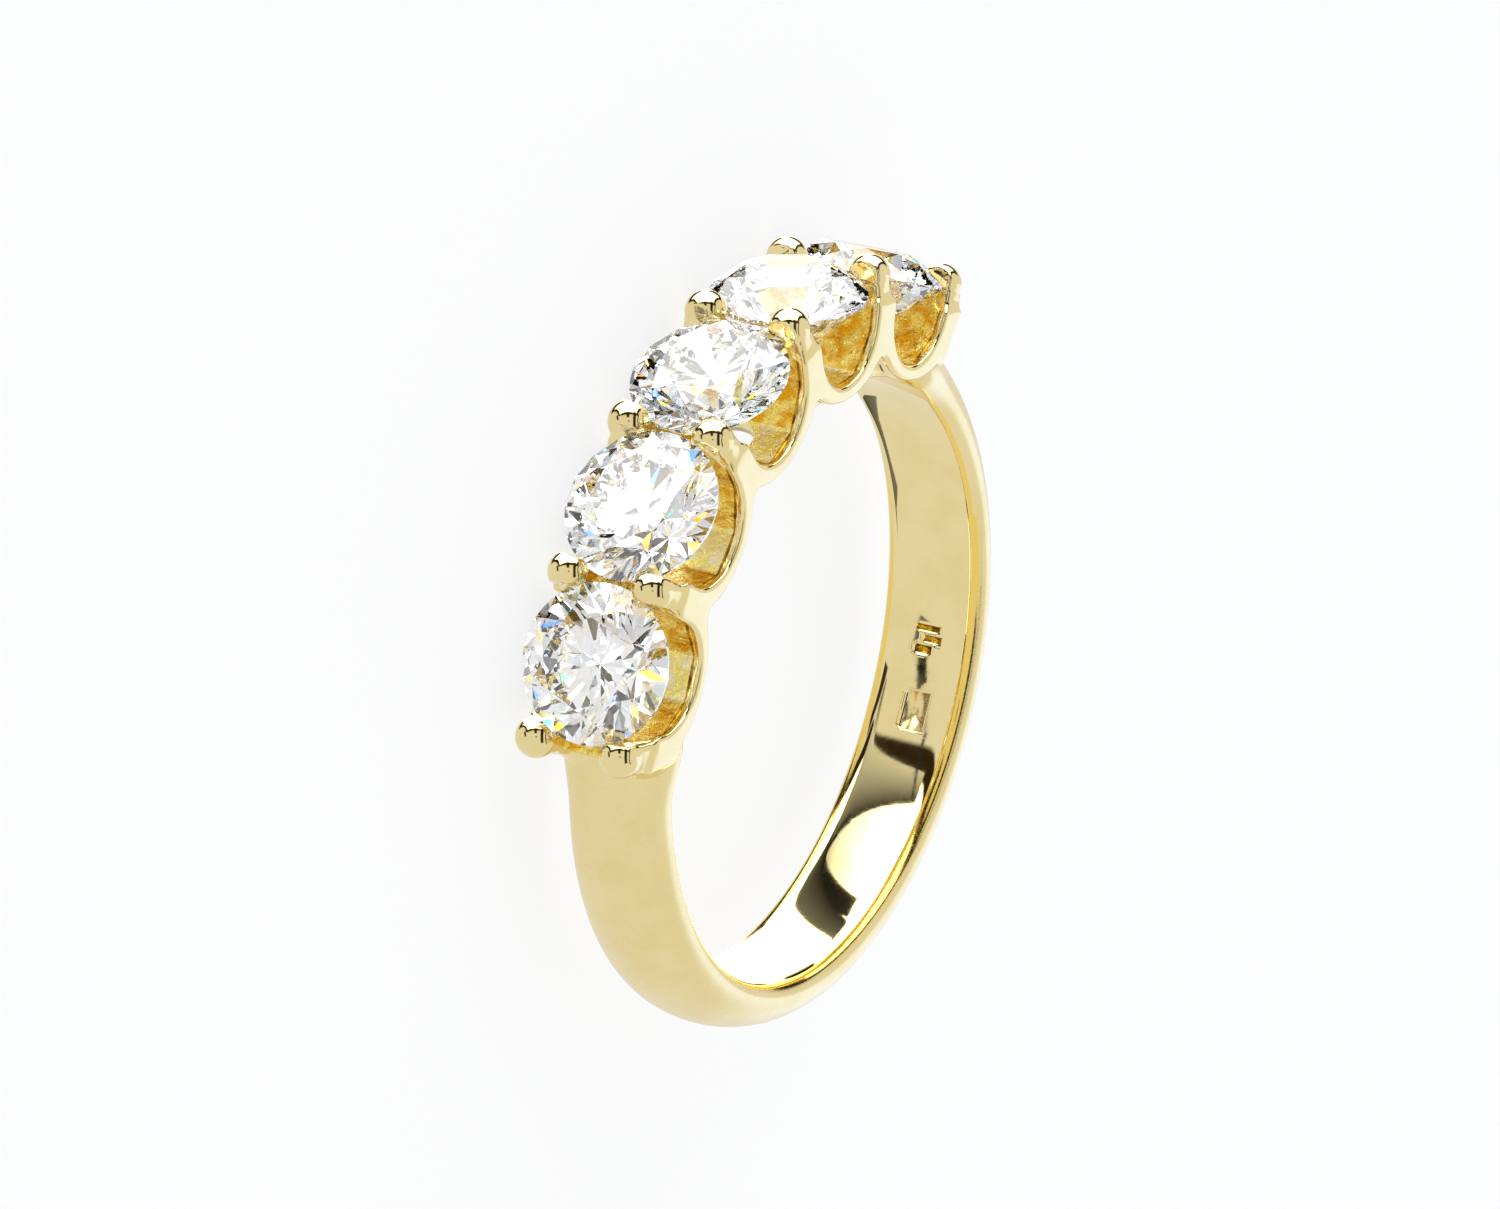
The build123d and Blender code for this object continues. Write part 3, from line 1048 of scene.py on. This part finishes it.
def make_flags():
    """Graded dark flags below the floor, which only the polished gold sees."""
    for number, (middle, size, turn, low, high) in enumerate(FLAGS):
        material, tree, shader = new_material(f"flag_{number}")
        shader.inputs["Base Color"].default_value = (0, 0, 0, 1)
        shader.inputs["Specular IOR Level"].default_value = 0
        shader.inputs["Emission Strength"].default_value = 1
        place = add(tree, "ShaderNodeUVMap", (-700, 0))
        apart = add(tree, "ShaderNodeSeparateXYZ", (-500, 0))
        wire(tree, place.outputs["UV"], apart.inputs["Vector"])
        light = add(tree, "ShaderNodeMix", (-200, 0), data_type="RGBA")
        light.inputs["A"].default_value = (low, low, low, 1)
        light.inputs["B"].default_value = (high, high, high, 1)
        wire(tree, apart.outputs["X"], light.inputs["Factor"])
        wire(tree, light.outputs["Result"], shader.inputs["Emission Color"])
        slant = add(tree, "ShaderNodeLayerWeight", (-400, -300))
        slant.inputs["Blend"].default_value = 0.5
        louvre = add(tree, "ShaderNodeMath", (-200, -300), operation="COMPARE")
        louvre.inputs[1].default_value = LOUVRE
        louvre.inputs[2].default_value = LOUVRE_ROOM
        wire(tree, slant.outputs["Facing"], louvre.inputs[0])
        wire(tree, louvre.outputs[0], shader.inputs["Alpha"])
        bpy.ops.mesh.primitive_plane_add(size=1)
        flag = started(f"flag_{number}")
        set_place(flag, scale=(size[0] * PER_MM, size[1] * PER_MM, 1))
        level = FLAG_LEVEL + FLAG_STEP * number
        set_place(flag, (middle[0] * PER_MM, middle[1] * PER_MM, level * PER_MM),
                  turn=(0, 0, math.radians(turn)))
        flag.data.materials.append(material)
        hidden(flag, "glossy")
        flag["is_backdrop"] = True


# The sparkle cards: how many, how far out, their radius when coloured or plain, and the light of
# each kind in turn
SPARKS = 180
SPARK_DISTANCE = 120.0
SPARK_RADIUS_COLOURED = 6.0
SPARK_RADIUS = 9.0
SPARK_LIGHTS = (
    (0.01, 0.01, 0.01),
    (2.6, 2.6, 2.6),
    (0.02, 0.02, 0.02),
    (3.4, 2.4, 0.1),
    (0.01, 0.01, 0.02),
    (2.0, 2.3, 2.8),
    (0.2, 0.7, 3.2),
    (0.02, 0.02, 0.02),
    (2.4, 2.4, 2.4),
    (3.2, 1.0, 0.1),
    (2.4, 2.4, 2.4),
    (0.5, 2.2, 2.2),
)


def make_sparks():
    """Small dark, bright and coloured cards round the ring, seen only through the stones."""
    golden = math.pi * (3 - math.sqrt(5))
    materials = []
    for number, light in enumerate(SPARK_LIGHTS):
        material, tree, shader = new_material(f"spark_{number}")
        shader.inputs["Base Color"].default_value = (0, 0, 0, 1)
        shader.inputs["Specular IOR Level"].default_value = 0
        shader.inputs["Emission Color"].default_value = light + (1,)
        shader.inputs["Emission Strength"].default_value = 1
        materials.append(material)
    for number in range(SPARKS):
        height = 1 - (2 * number + 1) / SPARKS
        flat = math.sqrt(1 - height * height)
        turn = golden * number
        towards = Vector((flat * math.cos(turn), flat * math.sin(turn), height))
        kind = number % len(SPARK_LIGHTS)
        coloured = max(SPARK_LIGHTS[kind]) > 1.5 * min(SPARK_LIGHTS[kind]) + 0.1
        radius = SPARK_RADIUS_COLOURED if coloured else SPARK_RADIUS
        bpy.ops.mesh.primitive_circle_add(vertices=6, radius=radius * PER_MM, fill_type="NGON")
        card = started(f"spark_{number}")
        set_place(card, towards * SPARK_DISTANCE * PER_MM,
                  turn=towards.to_track_quat("Z", "Y").to_euler())
        card.data.materials.append(materials[kind])
        hidden(card, "transmission")
        card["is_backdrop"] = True


# Operators: one for each piece, and the stage

class RING_OT_materials(bpy.types.Operator):
    """Makes the finishes of the gold and the stones"""
    bl_idname = "ring.materials"
    bl_label = "Materials"

    def execute(self, context):
        colours = context.scene.ring_colours
        make_grain_group()
        for *finish, first, second in FINISHES:
            make_gold(*finish, getattr(colours, first), getattr(colours, second))
        make_stone_material(colours)
        return {"FINISHED"}


class RING_OT_band(bpy.types.Operator):
    """Makes the band, domed outside and flat inside"""
    bl_idname = "ring.band"
    bl_label = "Band"

    def execute(self, context):
        shape = Shape(context.scene.ring_sizes)
        band = make_band(shape)
        inside = shape.bore_radius + 0.012
        edge = shape.bore_radius + 0.11
        marks_high = 0.6
        first_mark_end = math.radians(-133)
        # The bore's rounded edges get a painted reflection in deeper gold, and the bore its mirror
        # finish
        coated(band, "gold_satin",
               ("gold_edge", lambda p: inside <= p.xy.length < edge and abs(p.z) > marks_high),
               # Painted shade on the punched marks near the bore
               ("gold_seam", lambda p: p.xy.length < edge and abs(p.z) < marks_high
                and math.atan2(p.x, -p.y) > first_mark_end),
               ("gold_mirror", lambda p: p.xy.length < inside))
        finished(band)
        return {"FINISHED"}


class RING_OT_gallery(bpy.types.Operator):
    """Makes both side walls with their claws"""
    bl_idname = "ring.gallery"
    bl_label = "Side walls and claws"

    def execute(self, context):
        shape = Shape(context.scene.ring_sizes)
        near = make_side(shape)
        coated(near, "gold_polished")
        far = copy_of(near, "gallery_far")
        set_place(far, scale=(1, 1, -1))
        outwards(far)
        finished(near)
        finished(far)
        return {"FINISHED"}


class RING_OT_cups(bpy.types.Operator):
    """Makes the cups under the stones"""
    bl_idname = "ring.cups"
    bl_label = "Cups"

    def execute(self, context):
        shape = Shape(context.scene.ring_sizes)
        cups = make_cups(shape)
        # Below this radius, on each cup's floor, the gold gets a painted reflection
        floor = shape.opening_centre - shape.opening_radius + 0.08
        # Past this distance along the finger, by the cups' rims, the gold gets a painted shade line
        shade_line_from = shape.gallery_half_width - shape.rim - 0.10
        # The cups get painted shade and bounce light all over
        coated(cups, "gold_cast", ("gold_cup_floor", lambda p: p.xy.length < floor),
               ("gold_seam", lambda p: abs(p.z) > shade_line_from))
        finished(cups)
        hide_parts("ring_body")
        return {"FINISHED"}


class RING_OT_stones(bpy.types.Operator):
    """Gives the stones of the frame their finish"""
    bl_idname = "ring.stones"
    bl_label = "Stones"

    def execute(self, context):
        for name in STONES:
            stone = frame["nodes"][name]
            stone.data.materials.clear()
            stone.data.materials.append(bpy.data.materials["brilliant_stone"])
        return {"FINISHED"}


class RING_OT_stage(bpy.types.Operator):
    """Sets the floor, the light and the camera"""
    bl_idname = "ring.stage"
    bl_label = "Stage"

    def execute(self, context):
        make_card_group()
        make_world()
        make_floor(context.scene.ring_colours)
        make_flags()
        make_sparks()
        make_camera()
        scene = context.scene
        scene.view_settings.view_transform = "Standard"
        scene.cycles.max_bounces = 32
        scene.cycles.transmission_bounces = 24
        scene.cycles.glossy_bounces = 12
        return {"FINISHED"}


class RING_PT_panel(bpy.types.Panel):
    """Lists the steps that build the ring"""
    bl_idname = "RING_PT_panel"
    bl_label = "Five stone ring"
    bl_space_type = "VIEW_3D"
    bl_region_type = "UI"
    bl_category = "Ring"

    def draw(self, context):
        layout = self.layout
        for group in (context.scene.ring_sizes, context.scene.ring_colours):
            column = layout.column()
            for key in group.__annotations__:
                column.prop(group, key)
        for step in STEPS:
            layout.operator(step.bl_idname)


STEPS = (
    RING_OT_materials,
    RING_OT_stones,
    RING_OT_band,
    RING_OT_gallery,
    RING_OT_cups,
    RING_OT_stage,
)
CLASSES = (RingSizes, RingColours) + STEPS + (RING_PT_panel,)


def register():
    for item in CLASSES:
        bpy.utils.register_class(item)
    bpy.types.Scene.ring_sizes = bpy.props.PointerProperty(type=RingSizes)
    bpy.types.Scene.ring_colours = bpy.props.PointerProperty(type=RingColours)


def unregister():
    del bpy.types.Scene.ring_colours
    del bpy.types.Scene.ring_sizes
    for item in reversed(CLASSES):
        bpy.utils.unregister_class(item)


cad_box = [list(corner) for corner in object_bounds()]


def main():
    """Builds the ring step by step."""
    register()
    bpy.ops.ring.materials()
    bpy.ops.ring.stones()
    bpy.ops.ring.band()
    bpy.ops.ring.gallery()
    bpy.ops.ring.cups()
    bpy.ops.ring.stage()


if __name__ == "__main__":
    main()
